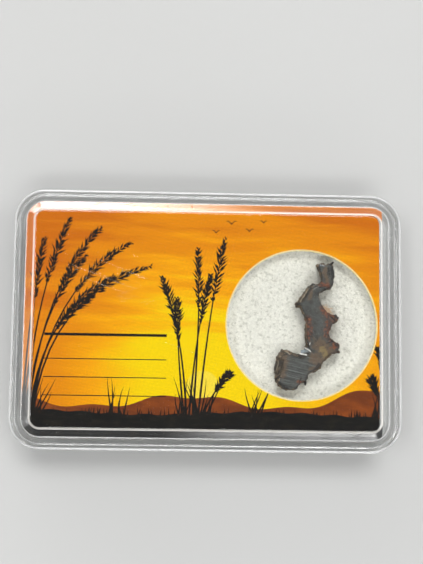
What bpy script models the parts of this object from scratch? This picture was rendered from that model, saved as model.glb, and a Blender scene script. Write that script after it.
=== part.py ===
"""A pallasite meteorite slice in a clear two-part display box.

The box lies flat, as it does on a shelf. X runs along its long side, Y towards the top of the
printed card, and Z up through the lid. The origin is the middle of the underside.
"""

import math

import bmesh
import bpy
from mathutils import Vector, noise

MM = 0.001

# Clear box, outside
BOX_LENGTH = 60 * MM
BOX_WIDTH = 40 * MM
BOX_CORNER_RADIUS = 4.8 * MM
CORNER_SEGMENTS = 16
WALL = 0.8 * MM
FIT_GAP = 0.15 * MM

# Base tray, heights from the surface that the box stands on
BASE_FLANGE_TOP = 1.2 * MM
BASE_FLOOR_TOP = 1.0 * MM
BASE_RIM_TOP = 6.1 * MM
BASE_FOOT_CHAMFER = 0.3 * MM
BASE_RIM_ROUNDING = 0.15 * MM

# Lid, which nests over the tray's wall and has a raised panel
LID_LIP = 1.4 * MM
LID_LEDGE_TOP = 7.2 * MM
LID_PANEL_TOP = 8.0 * MM
LID_LEDGE_WIDTH = 1.9 * MM
LID_SLOPE_RUN = 1.25 * MM
LID_TOP_THICKNESS = 0.9 * MM
LID_SLOPE_SHIFT = 0.7 * MM
LID_OUTER_ROUNDING = 0.35 * MM
LID_PANEL_ROUNDING = 0.15 * MM

# What lies in the box
TRAY_INSIDE = FIT_GAP + 2 * WALL
LOOSE_GAP = 0.2 * MM
FOAM_BOTTOM = BASE_FLOOR_TOP + LOOSE_GAP
FOAM_TOP = 5.3 * MM
CARD_BOTTOM = 5.55 * MM
CARD_THICKNESS = 0.4 * MM
WINDOW_CENTRE = Vector((14.65 * MM, -0.4 * MM, 0))
WINDOW_RADIUS = 11.6 * MM
WINDOW_SEGMENTS = 96
DENT_DEPTH = 0.8 * MM
DENT_TOP_RADIUS = 11.7 * MM
DENT_FLOOR_RADIUS = 10.9 * MM
SLICE_BOTTOM = FOAM_TOP - DENT_DEPTH + LOOSE_GAP
SLICE_THICKNESS = 2.0 * MM

# The slice's outline seen from above, in millimetres, clockwise from the top of its head
SLICE_OUTLINE = (
    (17.1, 9.1), (17.7, 9.2), (18.3, 9.0), (19.0, 9.3), (19.5, 9.6), (19.6, 9.4), (19.3, 9.0),
    (19.7, 8.2), (19.7, 7.3), (19.4, 5.8), (19.1, 5.4), (18.6, 5.2), (17.8, 4.9), (17.4, 4.6),
    (17.2, 4.1), (17.3, 3.5), (17.9, 2.5), (18.7, 1.6), (19.3, 1.3), (20.0, 1.2), (20.5, 0.9),
    (20.3, 0.5), (19.6, -0.1), (19.1, -0.8), (18.9, -1.6), (19.1, -2.4), (19.6, -2.8),
    (20.2, -3.2), (20.5, -3.8), (20.3, -4.1), (20.4, -4.6), (19.8, -4.6), (19.1, -5.0),
    (18.5, -5.6), (17.7, -6.5), (17.7, -6.8), (17.1, -7.4), (16.5, -7.6), (15.7, -8.0),
    (15.4, -8.7), (15.4, -9.3), (15.3, -9.7), (15.1, -9.3), (14.8, -9.2), (14.0, -10.0),
    (13.7, -10.4), (13.0, -10.5), (12.3, -10.5), (11.7, -10.3), (10.9, -9.6), (10.6, -8.6),
    (10.4, -7.5), (10.5, -6.4), (10.8, -5.3), (11.1, -4.7), (11.6, -4.2), (12.2, -4.2),
    (12.9, -4.4), (13.6, -4.7), (14.1, -4.8), (14.5, -4.6), (14.9, -4.2), (15.2, -3.6),
    (15.3, -2.5), (15.2, -1.2), (15.3, 0.1), (15.1, 0.8), (14.6, 1.7), (14.3, 2.4),
    (13.9, 2.6), (13.6, 2.9), (14.0, 3.4), (14.6, 4.3), (15.2, 5.2), (15.9, 5.8), (16.3, 6.1),
    (16.9, 6.0), (17.4, 6.2), (17.6, 6.7), (17.4, 7.7), (17.1, 8.5),
)
# Broken flanks, where the sawn face stands back from the outline: centre, reach and set-back
LOBE_SIDE = (10.1, -7.0), 3.3, 1.35
LOBE_SHOULDER = (11.5, -4.4), 2.0, 1.0
LOBE_TOP = (13.0, -4.4), 1.6, 0.75
INNER_CORNER = (14.7, -4.4), 1.8, 1.25
UPPER_FLANK = (14.4, 4.1), 2.4, 0.85
BROKEN_FLANKS = (LOBE_SIDE, LOBE_SHOULDER, LOBE_TOP, INNER_CORNER, UPPER_FLANK)
LEAST_SET_BACK = 0.06 * MM
# Levels up the side, as a share of the thickness, with the share of the set-back reached there
SIDE_LEVELS = ((0.0, 0.15), (0.25, 0.0), (0.65, 0.45), (1.0, 1.0))
SIDE_ROUGHNESS = 0.06 * MM
SIDE_GRAIN = 0.9 * MM


def clear_scene():
    """Removes every object that the file opens with."""
    for obj in list(bpy.data.objects):
        bpy.data.objects.remove(obj)


def make_collection(name):
    """Returns a new collection linked to the scene."""
    collection = bpy.data.collections.new(name)
    bpy.context.scene.collection.children.link(collection)
    return collection


def make_material(name, colour, roughness, metallic=0.0, transmission=0.0):
    """Returns a Principled BSDF material."""
    material = bpy.data.materials.new(name)
    material.use_nodes = True
    shader = material.node_tree.nodes["Principled BSDF"]
    shader.inputs["Base Color"].default_value = (*colour, 1.0)
    shader.inputs["Roughness"].default_value = roughness
    shader.inputs["Metallic"].default_value = metallic
    shader.inputs["Transmission Weight"].default_value = transmission
    return material


def add_object(name, bm, collection, material, smooth_angle=math.radians(40)):
    """Turns a bmesh into a named object with one material."""
    bmesh.ops.recalc_face_normals(bm, faces=bm.faces)
    mesh = bpy.data.meshes.new(name)
    bm.to_mesh(mesh)
    bm.free()
    mesh.shade_smooth()
    mesh.set_sharp_from_angle(angle=smooth_angle)
    obj = bpy.data.objects.new(name, mesh)
    obj.data.materials.append(material)
    collection.objects.link(obj)
    return obj


def rounded_block(length, width, corner_radius, bottom, top):
    """Returns a bmesh of a block whose four upright edges are rounded."""
    bm = bmesh.new()
    bmesh.ops.create_cube(bm, size=1.0)
    bmesh.ops.scale(bm, vec=(length, width, top - bottom), verts=bm.verts)
    bmesh.ops.translate(bm, vec=(0, 0, (top + bottom) / 2), verts=bm.verts)
    upright = [e for e in bm.edges if abs(e.verts[0].co.z - e.verts[1].co.z) > (top - bottom) / 2]
    bmesh.ops.bevel(
        bm, geom=upright, offset=corner_radius, segments=CORNER_SEGMENTS, profile=0.5, affect="EDGES"
    )
    return bm


def end_face(bm, side):
    """Returns the highest flat face of a bmesh for side 1, or the lowest for side -1."""
    level = [f for f in bm.faces if abs(f.normal.z) > 0.99]
    return max(level, key=lambda f: side * f.calc_center_median().z)


def step(bm, face, run, rise):
    """Insets a face by run and moves the inner face up by rise, which leaves a ledge or a slope."""
    bmesh.ops.inset_region(bm, faces=[face], thickness=run, use_even_offset=True)
    bmesh.ops.translate(bm, vec=(0, 0, rise), verts=face.verts)
    return face


def raise_face(bm, face, rise):
    """Extrudes a face straight up, or down for a negative rise, and returns the moved face."""
    moved = bmesh.ops.extrude_discrete_faces(bm, faces=[face])["faces"][0]
    bmesh.ops.translate(bm, vec=(0, 0, rise), verts=moved.verts)
    return moved


def soften(bm, edges, radius, segments=3):
    """Rounds a loop of edges."""
    bmesh.ops.bevel(
        bm, geom=edges, offset=radius, segments=segments, profile=0.5, affect="EDGES", clamp_overlap=True
    )


def make_base(collection, material):
    """The tray: a flanged floor with a thin upright wall, open at the top."""
    bm = rounded_block(BOX_LENGTH, BOX_WIDTH, BOX_CORNER_RADIUS, 0, BASE_FLANGE_TOP)
    foot_edges = list(end_face(bm, -1).edges)
    face = step(bm, end_face(bm, 1), WALL + FIT_GAP, 0)
    face = raise_face(bm, face, BASE_RIM_TOP - BASE_FLANGE_TOP)
    rim_edges = list(face.edges)
    face = step(bm, face, WALL, 0)
    rim_edges += list(face.edges)
    raise_face(bm, face, BASE_FLOOR_TOP - BASE_RIM_TOP)
    soften(bm, foot_edges, BASE_FOOT_CHAMFER, segments=2)
    soften(bm, rim_edges, BASE_RIM_ROUNDING, segments=2)
    return add_object("base", bm, collection, material)


def make_lid(collection, material):
    """The lid: a cap over the tray's wall, with a ledge round a raised see-through panel."""
    bm = rounded_block(BOX_LENGTH, BOX_WIDTH, BOX_CORNER_RADIUS, LID_LIP, LID_LEDGE_TOP)
    panel = end_face(bm, 1)
    underside = end_face(bm, -1)
    outer_edges = list(panel.edges)
    panel = step(bm, panel, LID_LEDGE_WIDTH, 0)
    panel = step(bm, panel, LID_SLOPE_RUN, LID_PANEL_TOP - LID_LEDGE_TOP)
    panel_edges = list(panel.edges)
    ceiling = step(bm, underside, WALL, 0)
    ceiling = raise_face(bm, ceiling, LID_LEDGE_TOP - LID_TOP_THICKNESS - LID_LIP)
    ceiling = step(bm, ceiling, LID_LEDGE_WIDTH + LID_SLOPE_SHIFT - WALL, 0)
    step(bm, ceiling, LID_SLOPE_RUN, LID_PANEL_TOP - LID_LEDGE_TOP)
    soften(bm, outer_edges, LID_OUTER_ROUNDING)
    soften(bm, panel_edges, LID_PANEL_ROUNDING, segments=2)
    return add_object("lid", bm, collection, material)


def make_cutter(name, collection, radius_top, radius_bottom, top, bottom):
    """Returns a round cutter centred on the window, which the build leaves out."""
    bm = bmesh.new()
    bmesh.ops.create_cone(
        bm,
        cap_ends=True,
        segments=WINDOW_SEGMENTS,
        radius1=radius_bottom,
        radius2=radius_top,
        depth=top - bottom,
    )
    middle = WINDOW_CENTRE + Vector((0, 0, (top + bottom) / 2))
    bmesh.ops.translate(bm, vec=middle, verts=bm.verts)
    mesh = bpy.data.meshes.new(name)
    bm.to_mesh(mesh)
    bm.free()
    cutter = bpy.data.objects.new(name, mesh)
    cutter.hide_render = True
    cutter.display_type = "WIRE"
    collection.objects.link(cutter)
    return cutter


def cut(obj, cutter):
    """Cuts one shape out of another."""
    modifier = obj.modifiers.new("cut", "BOOLEAN")
    modifier.operation = "DIFFERENCE"
    modifier.object = cutter


def make_filling(name, collection, cutters, material, bottom, top, radii, cut_to):
    """A flat layer that fills the tray from wall to wall, cut by a round cutter on the window."""
    inset = TRAY_INSIDE + LOOSE_GAP
    bm = rounded_block(
        BOX_LENGTH - 2 * inset, BOX_WIDTH - 2 * inset, BOX_CORNER_RADIUS - inset, bottom, top
    )
    layer = add_object(name, bm, collection, material)
    radius_top, radius_bottom = radii
    slope = (radius_top - radius_bottom) / (top - cut_to)
    radius_above = radius_top + slope * WALL
    cutter = make_cutter(name + "_cutter", cutters, radius_above, radius_bottom, top + WALL, cut_to)
    cut(layer, cutter)
    return layer


def set_back_at(point):
    """How far the sawn edge stands back from the outline at this point of it."""
    found = LEAST_SET_BACK
    for (x, y), reach, depth in BROKEN_FLANKS:
        near = 1 - (point - Vector((x * MM, y * MM, 0))).length / (reach * MM)
        if near > 0:
            found = max(found, depth * MM * near * near * (3 - 2 * near))
    return found


def inward_normals(points):
    """Unit vectors into a clockwise outline, one for each point."""
    normals = []
    for i, point in enumerate(points):
        along = points[(i + 1) % len(points)] - points[i - 1]
        normals.append(Vector((along.y, -along.x, 0)).normalized())
    return normals


def slice_outline():
    """The outline in metres, with a point added half way along every edge."""
    corners = [Vector((x * MM, y * MM, 0)) for x, y in SLICE_OUTLINE]
    points = []
    for i, corner in enumerate(corners):
        points += [corner, (corner + corners[(i + 1) % len(corners)]) / 2]
    return points


def make_slice(collection, material):
    """The slice: two flat sawn faces, and sides that are broken where crystals fell out."""
    outline = slice_outline()
    normals = inward_normals(outline)
    bm = bmesh.new()
    face = bm.faces.new([bm.verts.new(p) for p in reversed(outline)])
    for level, share in SIDE_LEVELS:
        if level > 0:
            face = bmesh.ops.extrude_discrete_faces(bm, faces=[face])["faces"][0]
        ring = list(reversed(outline)), list(reversed(normals))
        for vertex, point, normal in zip(face.verts, *ring):
            rough = noise.noise(Vector((point.x, point.y, level * SLICE_THICKNESS)) / SIDE_GRAIN)
            inward = share * set_back_at(point) + SIDE_ROUGHNESS * (rough + 0.5)
            height = SLICE_BOTTOM + level * SLICE_THICKNESS
            vertex.co = point + inward * normal + Vector((0, 0, height))
    bmesh.ops.holes_fill(bm, edges=[e for e in bm.edges if e.is_boundary], sides=0)
    bmesh.ops.triangulate(bm, faces=bm.faces, ngon_method="EAR_CLIP")
    return add_object("meteorite_slice", bm, collection, material, math.radians(30))


def main():
    """Builds the box, its filling and the slice."""
    clear_scene()
    parts = make_collection("meteorite_slice_in_box")
    cutters = make_collection("cutters")
    clear_plastic = make_material("clear_plastic", (0.93, 0.96, 0.96), 0.05, transmission=1.0)
    white_foam = make_material("white_foam", (0.83, 0.84, 0.80), 0.9)
    printed_card = make_material("printed_card", (0.85, 0.42, 0.04), 0.45)
    meteorite = make_material("meteorite", (0.13, 0.12, 0.11), 0.4, metallic=0.8)

    make_base(parts, clear_plastic)
    make_lid(parts, clear_plastic)
    dent = DENT_TOP_RADIUS, DENT_FLOOR_RADIUS
    make_filling(
        "foam_insert", parts, cutters, white_foam, FOAM_BOTTOM, FOAM_TOP, dent, FOAM_TOP - DENT_DEPTH
    )
    window = WINDOW_RADIUS, WINDOW_RADIUS
    card_top = CARD_BOTTOM + CARD_THICKNESS
    make_filling(
        "printed_card", parts, cutters, printed_card, CARD_BOTTOM, card_top, window, CARD_BOTTOM - WALL
    )
    make_slice(parts, meteorite)


main()
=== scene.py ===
"""Dresses a boxed meteorite slice: the clear box, its foam, its printed card and the slice.

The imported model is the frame. Each piece here takes the place of one of its nodes, in metres, with
its place in its mesh. The box lies flat with its lid up, and the long side runs along X.
"""

from __future__ import annotations

import logging
import math
import random
from dataclasses import dataclass, field
from enum import Enum
from functools import partial
from typing import Iterable, Sequence, Union

import bmesh
import bpy
import numpy as np
from mathutils import Matrix, Vector, noise
from mathutils.geometry import delaunay_2d_cdt

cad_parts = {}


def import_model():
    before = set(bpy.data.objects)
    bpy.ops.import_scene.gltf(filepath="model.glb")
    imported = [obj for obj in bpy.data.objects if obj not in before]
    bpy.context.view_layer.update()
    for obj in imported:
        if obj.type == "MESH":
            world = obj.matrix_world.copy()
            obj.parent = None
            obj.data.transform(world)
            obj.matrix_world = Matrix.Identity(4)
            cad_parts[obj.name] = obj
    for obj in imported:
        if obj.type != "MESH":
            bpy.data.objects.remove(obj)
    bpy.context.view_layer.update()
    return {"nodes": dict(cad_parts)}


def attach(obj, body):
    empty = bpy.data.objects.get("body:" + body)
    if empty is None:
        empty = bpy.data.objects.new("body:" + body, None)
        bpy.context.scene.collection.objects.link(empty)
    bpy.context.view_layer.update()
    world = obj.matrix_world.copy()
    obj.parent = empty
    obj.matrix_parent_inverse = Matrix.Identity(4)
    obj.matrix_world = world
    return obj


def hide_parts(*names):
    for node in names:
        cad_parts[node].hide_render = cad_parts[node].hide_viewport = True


log = logging.getLogger("boxed_slice")

MM = 0.001
MERGE_REACH = 0.002 * MM
# The foam and the card are a little shorter than the tray and lie to its left.
INSERT_RIGHT = 26.95 * MM
BODY = "root"

Socket = bpy.types.NodeSocket
Feed = Union[Socket, float, Sequence[float]]
Point2 = tuple[float, float]
Colour = tuple[float, float, float]
Place = tuple[float, float, float]
Rows = tuple[tuple[float, ...], ...]


def srgb(red: int, green: int, blue: int) -> Colour:
    """Turns a screen colour into the linear colour that shaders take.

    Args:
        red: Red from 0 to 255.
        green: Green from 0 to 255.
        blue: Blue from 0 to 255.

    Returns:
        The linear colour, each part from 0 to 1.
    """
    parts = (c / 255 for c in (red, green, blue))
    return tuple(c / 12.92 if c <= 0.04045 else ((c + 0.055) / 1.055) ** 2.4 for c in parts)


def smooth_ramp(low: float, high: float, value: float) -> float:
    """Rises smoothly from 0 at low to 1 at high."""
    share = min(max((value - low) / (high - low), 0.0), 1.0)
    return share * share * (3 - 2 * share)


def in_metres(place: Point2) -> Place:
    """Turns a place in millimetres into metres, at height 0."""
    return place[0] * MM, place[1] * MM, 0.0


def mesh_of(bm: bmesh.types.BMesh, name: str) -> bpy.types.Mesh:
    """Turns a bmesh into a mesh and frees it.

    Args:
        bm: The bmesh.
        name: The mesh's name.

    Returns:
        The mesh.
    """
    mesh = bpy.data.meshes.new(name)
    bm.to_mesh(mesh)
    bm.free()
    return mesh


def put_in_scene(name: str, data: bpy.types.ID) -> bpy.types.Object:
    """Makes an object of a mesh, a lamp or a camera.

    Args:
        name: The object's name.
        data: What it shows.

    Returns:
        The object, linked to the scene.
    """
    thing = bpy.data.objects.new(name, data)
    bpy.context.scene.collection.objects.link(thing)
    return thing


class LidPart(Enum):
    """The parts of the lid that have a finish of their own, in slot order."""

    WALL = 0
    EDGE = 1
    CREST = 2
    SLOPE = 3


class Layer(Enum):
    """What a patch of the printed card's face shows."""

    SKY = 0
    RIDGE = 1
    GROUND = 2
    GRASS = 3
    CUT_EDGE = 4
    BACK = 5


class Wiring:
    """Adds nodes to a material's or a group's tree and joins them up."""

    def __init__(self, tree: bpy.types.NodeTree) -> None:
        """Keeps the tree that the nodes go into."""
        self.tree = tree

    def add(self, kind: str, **settings: object) -> bpy.types.Node:
        """Adds a node.

        Args:
            kind: The node's type, such as ShaderNodeMath.
            settings: The node's own properties, by name.

        Returns:
            The new node.
        """
        node = self.tree.nodes.new(kind)
        for name, value in settings.items():
            setattr(node, name, value)
        return node

    def feed(self, target: Socket, value: Feed) -> None:
        """Gives an input a link or a value of its own.

        Args:
            target: The input.
            value: A socket to link from, or a number, vector or colour.
        """
        if isinstance(value, bpy.types.NodeSocket):
            self.tree.links.new(value, target)
        elif target.type == "RGBA" and len(value) == 3:
            target.default_value = (*value, 1.0)
        else:
            target.default_value = value

    def dress(self, node: bpy.types.Node, values: dict[str, Feed]) -> None:
        """Gives several inputs of a node a link or a value each.

        Args:
            node: The node.
            values: What each input gets, by the input's name.
        """
        for name, value in values.items():
            self.feed(node.inputs[name], value)

    def math(self, operation: str, first: Feed, second: Feed = 0.0, clamp: bool = False) -> Socket:
        """Does a sum on numbers.

        Args:
            operation: The Math node's operation.
            first: The first number.
            second: The second number.
            clamp: Whether the result is kept from 0 to 1.

        Returns:
            The result.
        """
        node = self.add("ShaderNodeMath", operation=operation, use_clamp=clamp)
        self.feed(node.inputs[0], first)
        self.feed(node.inputs[1], second)
        return node.outputs[0]

    def times(self, first: Feed, second: Feed, clamp: bool = False) -> Socket:
        """Multiplies two numbers, and keeps the result from 0 to 1 if clamp is set."""
        return self.math("MULTIPLY", first, second, clamp)

    def plus(self, first: Feed, second: Feed) -> Socket:
        """Adds two numbers."""
        return self.math("ADD", first, second)

    def minus(self, first: Feed, second: Feed) -> Socket:
        """Takes the second number from the first."""
        return self.math("SUBTRACT", first, second)

    def larger(self, first: Feed, second: Feed) -> Socket:
        """Picks the larger of two numbers."""
        return self.math("MAXIMUM", first, second)

    def vectors(self, operation: str, first: Feed, second: Feed, part: int = 0) -> Socket:
        """Does a sum on vectors.

        Args:
            operation: The Vector Math node's operation.
            first: The first vector.
            second: The second vector, or the scale for SCALE.
            part: Which output is wanted, 0 for a vector or 1 for a number.

        Returns:
            The result.
        """
        node = self.add("ShaderNodeVectorMath", operation=operation)
        self.feed(node.inputs[0], first)
        self.feed(node.inputs[3 if operation == "SCALE" else 1], second)
        return node.outputs[part]

    def flat(self, vector: Feed) -> Socket:
        """Leaves out a vector's height."""
        return self.vectors("MULTIPLY", vector, (1, 1, 0))

    def split(self, vector: Feed) -> bpy.types.NodeOutputs:
        """Splits a vector into numbers.

        Args:
            vector: The vector.

        Returns:
            Its X, Y and Z.
        """
        node = self.add("ShaderNodeSeparateXYZ")
        self.feed(node.inputs[0], vector)
        return node.outputs

    def grey(self, tone: Feed) -> Socket:
        """Turns a number into a grey.

        Args:
            tone: How bright it is.

        Returns:
            The grey.
        """
        node = self.add("ShaderNodeCombineColor")
        for socket in node.inputs[:3]:
            self.feed(socket, tone)
        return node.outputs[0]

    def ramp(
        self, value: Feed, low: Feed, high: Feed, start: Feed = 0.0, end: Feed = 1.0
    ) -> Socket:
        """Maps a number smoothly from one range to another and holds it at the ends.

        Args:
            value: The number.
            low: Where the result is start.
            high: Where the result is end.
            start: The result at low.
            end: The result at high.

        Returns:
            The mapped number.
        """
        node = self.add("ShaderNodeMapRange", interpolation_type="SMOOTHSTEP")
        for socket, given in zip(node.inputs, (value, low, high, start, end)):
            self.feed(socket, given)
        return node.outputs[0]

    def blend(self, share: Feed, under: Feed, over: Feed, mode: str = "MIX") -> Socket:
        """Lays one colour over another.

        Args:
            share: How much of the upper colour shows.
            under: The lower colour.
            over: The upper colour.
            mode: The Mix node's blend mode.

        Returns:
            The mixed colour.
        """
        node = self.add("ShaderNodeMix", data_type="RGBA", blend_type=mode)
        self.feed(node.inputs[0], share)
        self.feed(node.inputs[6], under)
        self.feed(node.inputs[7], over)
        return node.outputs[2]

    def turned(self, vector: Feed, angle: float, stretch: Sequence[float]) -> Socket:
        """Turns coordinates about Z, and then scales them.

        Args:
            vector: The coordinates.
            angle: The turn in degrees.
            stretch: The scale along each turned axis.

        Returns:
            The new coordinates.
        """
        turn = self.add("ShaderNodeMapping")
        self.feed(turn.inputs["Vector"], vector)
        turn.inputs["Rotation"].default_value = (0, 0, math.radians(angle))
        scale = self.add("ShaderNodeMapping")
        self.feed(scale.inputs["Vector"], turn.outputs[0])
        scale.inputs["Scale"].default_value = stretch
        return scale.outputs[0]

    def cloud(
        self, vector: Feed, scale: Feed, detail: float = 2.0, roughness: float = 0.5
    ) -> Socket:
        """Makes soft noise round 0.5.

        Args:
            vector: The coordinates.
            scale: Features per metre.
            detail: How many finer octaves are added.
            roughness: How strong the finer octaves are.

        Returns:
            The noise value.
        """
        node = self.add("ShaderNodeTexNoise")
        self.feed(node.inputs["Vector"], vector)
        self.feed(node.inputs["Scale"], scale)
        node.inputs["Detail"].default_value = detail
        node.inputs["Roughness"].default_value = roughness
        return node.outputs[0]

    def cells(self, vector: Feed, scale: Feed) -> Socket:
        """Measures the distance to the nearest of a scatter of points.

        Args:
            vector: The coordinates.
            scale: Points per metre.

        Returns:
            The distance, as a share of the points' pitch.
        """
        node = self.add("ShaderNodeTexVoronoi")
        self.feed(node.inputs["Vector"], vector)
        self.feed(node.inputs["Scale"], scale)
        return node.outputs["Distance"]

    def bump(self, height: Feed, distance: float, strength: float = 1.0) -> Socket:
        """Turns a height into a normal.

        Args:
            height: The height, from 0 to 1.
            distance: The real height in metres where it is 1.
            strength: The share of the effect that is kept.

        Returns:
            The normal.
        """
        node = self.add("ShaderNodeBump")
        node.inputs["Strength"].default_value = strength
        node.inputs["Distance"].default_value = distance
        self.feed(node.inputs["Height"], height)
        return node.outputs[0]

    def object_coordinates(self) -> Socket:
        """Finds the piece's own coordinates in metres."""
        return self.add("ShaderNodeTexCoord").outputs["Object"]


class EffectGroup:
    """A node group with named sockets, built once and placed in any material."""

    def __init__(
        self, name: str, inputs: Sequence[tuple[str, str]], outputs: Sequence[tuple[str, str]]
    ) -> None:
        """Makes the group's sockets.

        Args:
            name: The group's name.
            inputs: Each input's name and type: Float, Vector or Color.
            outputs: Each output's name and type.
        """
        self.tree = bpy.data.node_groups.new(name, "ShaderNodeTree")
        for way, sockets in (("INPUT", inputs), ("OUTPUT", outputs)):
            for label, kind in sockets:
                self.tree.interface.new_socket(label, in_out=way, socket_type="NodeSocket" + kind)
        self.wiring = Wiring(self.tree)
        self.given = self.wiring.add("NodeGroupInput").outputs
        self.wanted = self.wiring.add("NodeGroupOutput").inputs

    def place(self, wiring: Wiring, **values: Feed) -> bpy.types.NodeOutputs:
        """Places the group in a tree.

        Args:
            wiring: The tree's wiring.
            values: The inputs, by name with underscores for spaces.

        Returns:
            The placed group's outputs.
        """
        node = wiring.add("ShaderNodeGroup", node_tree=self.tree)
        for name, value in values.items():
            wiring.feed(node.inputs[name.replace("_", " ").capitalize()], value)
        return node.outputs


class Effects:
    """The effects that several finishes share."""

    def __init__(self) -> None:
        """Builds every group once."""
        self.scratches = self._scratches()
        self.mark = self._mark()
        self.grain = self._grain()
        self.screen = self._screen()

    @staticmethod
    def _scratches() -> EffectGroup:
        """Hair scratches: long thin lines in three directions that fade in and out.

        Returns:
            The group, which puts out a mask.
        """
        group = EffectGroup(
            "hair_scratches", (("Vector", "Vector"), ("Amount", "Float")), (("Mask", "Float"),)
        )
        w, given = group.wiring, group.given
        total: Feed = 0.0
        for angle, along, across in ((12, 90, 1900), (-24, 70, 2300), (71, 110, 1500)):
            lines = w.cloud(w.turned(given["Vector"], angle, (along, across, 1)), 1.0, 1.0)
            line = w.ramp(w.math("ABSOLUTE", w.minus(lines, 0.5)), 0.012, 0.0)
            patches = w.cloud(w.turned(given["Vector"], angle, (180, 420, 1)), 1.0, 2.0)
            line = w.times(line, w.ramp(patches, 0.50, 0.68))
            total = w.plus(total, line)
        w.feed(group.wanted["Mask"], w.times(total, given["Amount"], clamp=True))
        return group

    @staticmethod
    def _mark() -> EffectGroup:
        """A ragged spot or stroke between two points, such as rust, a stain, a crack or a glint.

        Returns:
            The group, which puts out a mask.
        """
        inputs = (
            ("Vector", "Vector"), ("Start", "Vector"), ("Finish", "Vector"),
            ("Width", "Float"), ("Ragged", "Float"),
        )
        group = EffectGroup("ragged_mark", inputs, (("Mask", "Float"),))
        w, given = group.wiring, group.given
        run = w.vectors("SUBTRACT", given["Finish"], given["Start"])
        reach = w.vectors("SUBTRACT", w.flat(given["Vector"]), given["Start"])
        along = w.math(
            "DIVIDE",
            w.vectors("DOT_PRODUCT", reach, run, part=1),
            w.vectors("DOT_PRODUCT", run, run, part=1),
            clamp=True,
        )
        aside = w.vectors("DISTANCE", reach, w.vectors("SCALE", run, along), part=1)
        wander = w.minus(w.cloud(given["Vector"], 1900.0, 4.0, 0.65), 0.5)
        aside = w.plus(aside, w.times(wander, given["Ragged"]))
        inner = w.times(given["Width"], 0.4)
        w.feed(group.wanted["Mask"], w.ramp(aside, given["Width"], inner))
        return group

    @staticmethod
    def _grain() -> EffectGroup:
        """Fine grain: a tone that varies round 1, and a height to go with it.

        Returns:
            The group, which puts out a tone and a height.
        """
        inputs = (("Vector", "Vector"), ("Scale", "Float"), ("Contrast", "Float"))
        group = EffectGroup("fine_grain", inputs, (("Tone", "Float"), ("Height", "Float")))
        w, given = group.wiring, group.given
        fine = w.cloud(given["Vector"], given["Scale"], 3.0, 0.65)
        beads = w.cells(given["Vector"], w.times(given["Scale"], 0.8))
        height = w.minus(w.times(fine, 1.4), w.times(beads, 0.45))
        tone = w.times(w.minus(height, 0.45), given["Contrast"])
        w.feed(group.wanted["Tone"], w.plus(tone, 1.0))
        w.feed(group.wanted["Height"], height)
        return group

    @staticmethod
    def _screen() -> EffectGroup:
        """The dots of a printing screen with the mottle of ink on card.

        Returns:
            The group, which puts out the printed colour.
        """
        inputs = (
            ("Vector", "Vector"), ("Ink", "Color"), ("Pitch", "Float"), ("Depth", "Float"),
        )
        group = EffectGroup("printing_screen", inputs, (("Colour", "Color"),))
        w, given = group.wiring, group.given
        turned = w.split(w.turned(given["Vector"], 38, (1, 1, 1)))
        turns = w.math("DIVIDE", 2 * math.pi, given["Pitch"])
        waves = [w.math("SINE", w.times(part, turns)) for part in turned[:2]]
        dots = w.times(*waves)
        mottle = w.minus(w.cloud(given["Vector"], 3200.0, 2.0, 0.7), 0.5)
        tone = w.plus(dots, w.times(mottle, 2.2))
        tone = w.plus(1.0, w.times(tone, given["Depth"]))
        w.feed(group.wanted["Colour"], w.blend(1.0, given["Ink"], w.grey(tone), "MULTIPLY"))
        return group


@dataclass(frozen=True)
class Mark:
    """A spot or a straight stroke on a piece, seen from above, in millimetres."""

    start: Point2
    finish: Point2
    width: float
    ragged: float = 0.1
    depth: float = 0.0

    def mask(self, wiring: Wiring, effects: Effects, vector: Socket) -> Socket:
        """Places the mark's group.

        Args:
            wiring: The material's wiring.
            effects: The shared effects.
            vector: The piece's coordinates.

        Returns:
            The mark's mask.
        """
        return effects.mark.place(
            wiring, vector=vector, start=in_metres(self.start), finish=in_metres(self.finish),
            width=self.width * MM, ragged=self.ragged * MM,
        )["Mask"]

    def nearness(self, x: float, y: float) -> float:
        """Measures how near a point of the mesh is to the mark.

        Args:
            x: The point's X in millimetres.
            y: The point's Y in millimetres.

        Returns:
            1 on the mark, falling smoothly to 0 at its width.
        """
        start, run = Vector(self.start), Vector(self.finish) - Vector(self.start)
        reach = Vector((x, y)) - start
        along = min(max(reach.dot(run) / run.dot(run), 0.0), 1.0)
        return 1 - smooth_ramp(0.25 * self.width, self.width, (reach - along * run).length)


def marks_at(*rows: Sequence[float]) -> tuple[Mark, ...]:
    """Makes a mark of each row: start X and Y, end X and Y, width, raggedness and depth."""
    return tuple(Mark((x, y), (u, v), *rest) for x, y, u, v, *rest in rows)


def any_of(wiring: Wiring, effects: Effects, vector: Socket, marks: Iterable[Mark]) -> Feed:
    """Joins the masks of several marks.

    Args:
        wiring: The material's wiring.
        effects: The shared effects.
        vector: The piece's coordinates.
        marks: The marks.

    Returns:
        A mask that is 1 where any of them is.
    """
    total: Feed = 0.0
    for mark in marks:
        total = wiring.larger(total, mark.mask(wiring, effects, vector))
    return total


@dataclass(frozen=True)
class Patches:
    """Patches of noise in a finish: how fine they are, and how they fade in."""

    scale: float
    detail: float
    roughness: float
    fade: Point2
    shares: Point2 = (0.0, 1.0)

    def mask(self, w: Wiring, vector: Feed) -> Socket:
        """Places the patches, whose share goes from the first to the second over the fade."""
        tone = w.cloud(vector, self.scale, self.detail, self.roughness)
        return w.ramp(tone, *self.fade, *self.shares)


def new_material(name: str) -> tuple[bpy.types.Material, Wiring, bpy.types.Node]:
    """Starts a material.

    Args:
        name: The material's name.

    Returns:
        The material, its wiring and its Principled BSDF node.
    """
    material = bpy.data.materials.new(name)
    material.use_nodes = True
    return material, Wiring(material.node_tree), material.node_tree.nodes["Principled BSDF"]


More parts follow.
